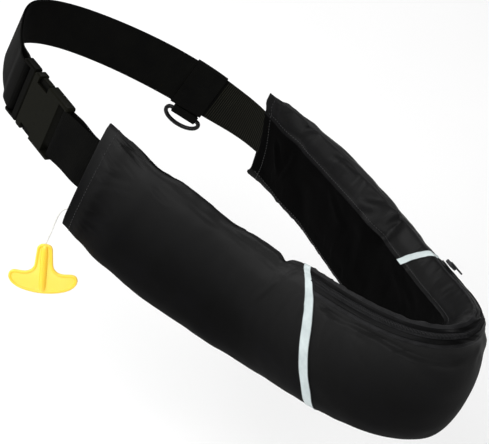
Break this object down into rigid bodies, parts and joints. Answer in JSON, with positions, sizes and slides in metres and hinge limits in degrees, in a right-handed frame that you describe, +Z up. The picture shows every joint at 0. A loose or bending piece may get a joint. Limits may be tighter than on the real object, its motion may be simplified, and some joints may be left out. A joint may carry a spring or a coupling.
{
  "type": "inflatable belt pack",
  "caption": "Padded waist belt pack that holds a folded inflatable, closed by a side-release buckle, with a pull handle on a cord.",
  "frame": {"origin": "middle of the waist opening, at the height of the belt's middle line", "axes": "+Z up along the wearer, -Y the wearer's front with the pouch's tip, +X the wearer's left"},
  "size_m": [0.3195, 0.5524, 0.1792],
  "materials": {
    "pouch_nylon": "black coated nylon packcloth, soft sheen",
    "webbing": "black woven nylon webbing, matte",
    "zipper_tape": "black woven zipper tape, matte",
    "zipper_coil": "dark nylon coil, satin",
    "slider_metal": "dark painted metal, satin",
    "reflective_tape": "silver-grey retroreflective tape, satin",
    "ring_metal": "black coated steel, glossy",
    "buckle_plastic": "dark grey acetal, satin",
    "pull_cord": "white braided cord, matte",
    "handle_plastic": "bright yellow moulded plastic, satin gloss"
  },
  "bodies": {
    "belt": {"pouch": "pouch_nylon", "reflective_strip_right": "reflective_tape", "reflective_strip_left": "reflective_tape", "zipper_tape": "zipper_tape", "zipper_teeth": "zipper_coil", "zipper_slider": "slider_metal", "strap_short": "webbing", "strap_long": "webbing", "keeper": "webbing", "ring_tab": "webbing", "buckle_plug": "buckle_plastic", "buckle_socket": "buckle_plastic", "pull_cord": "pull_cord", "pull_handle": "handle_plastic"},
    "ring": {"d_ring": "ring_metal"}
  },
  "joints": [
    {"name": "d_ring_swing", "type": "hinge", "parent": "belt", "child": "ring", "pos_m": [0.11004, 0.1296, -0.0454], "axis": [0.4393, -0.8421, -0.3128], "range_deg": [-90, 90]}
  ]
}
